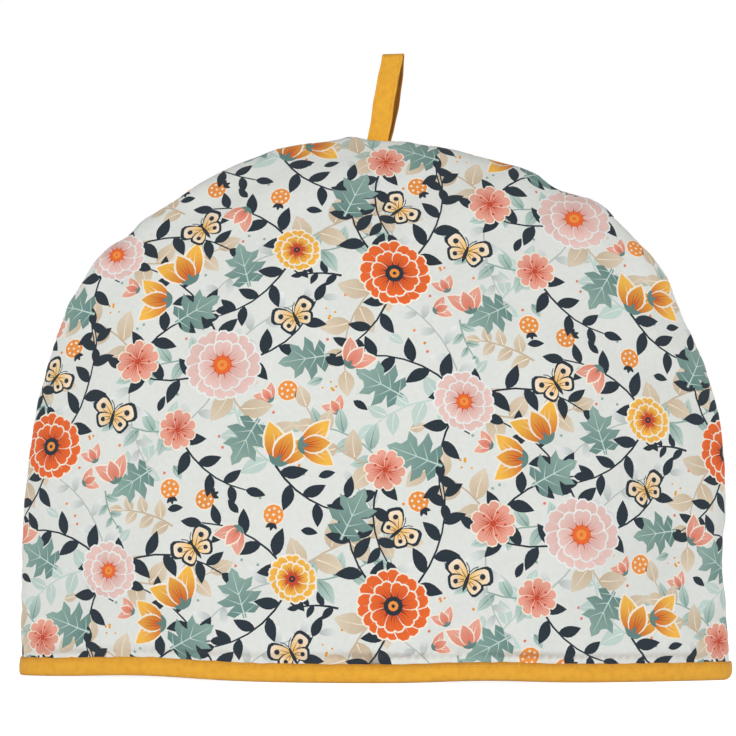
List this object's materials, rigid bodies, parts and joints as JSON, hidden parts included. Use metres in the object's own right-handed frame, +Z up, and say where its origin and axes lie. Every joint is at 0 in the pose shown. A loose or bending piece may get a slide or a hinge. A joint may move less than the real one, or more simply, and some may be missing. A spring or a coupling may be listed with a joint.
{
  "type": "tea cosy",
  "caption": "Padded dome-shaped tea cosy of two seamed printed panels, open at the bound hem, with a folded hanging loop at the top.",
  "frame": {"origin": "middle of the hem ring, on the surface that the cosy stands on", "axes": "+Z up towards the hanging loop, +X along the width from side seam to side seam, the front panel faces -Y"},
  "size_m": [0.3405, 0.1231, 0.2979],
  "materials": {
    "printed_cotton": "plain-woven cotton with a floral print",
    "mustard_tape": "plain-woven cotton tape, folded and stitched"
  },
  "bodies": {
    "root": {"front_panel": "printed_cotton", "back_panel": "printed_cotton", "hem_binding": "mustard_tape", "hanging_loop": "mustard_tape"}
  },
  "joints": []
}
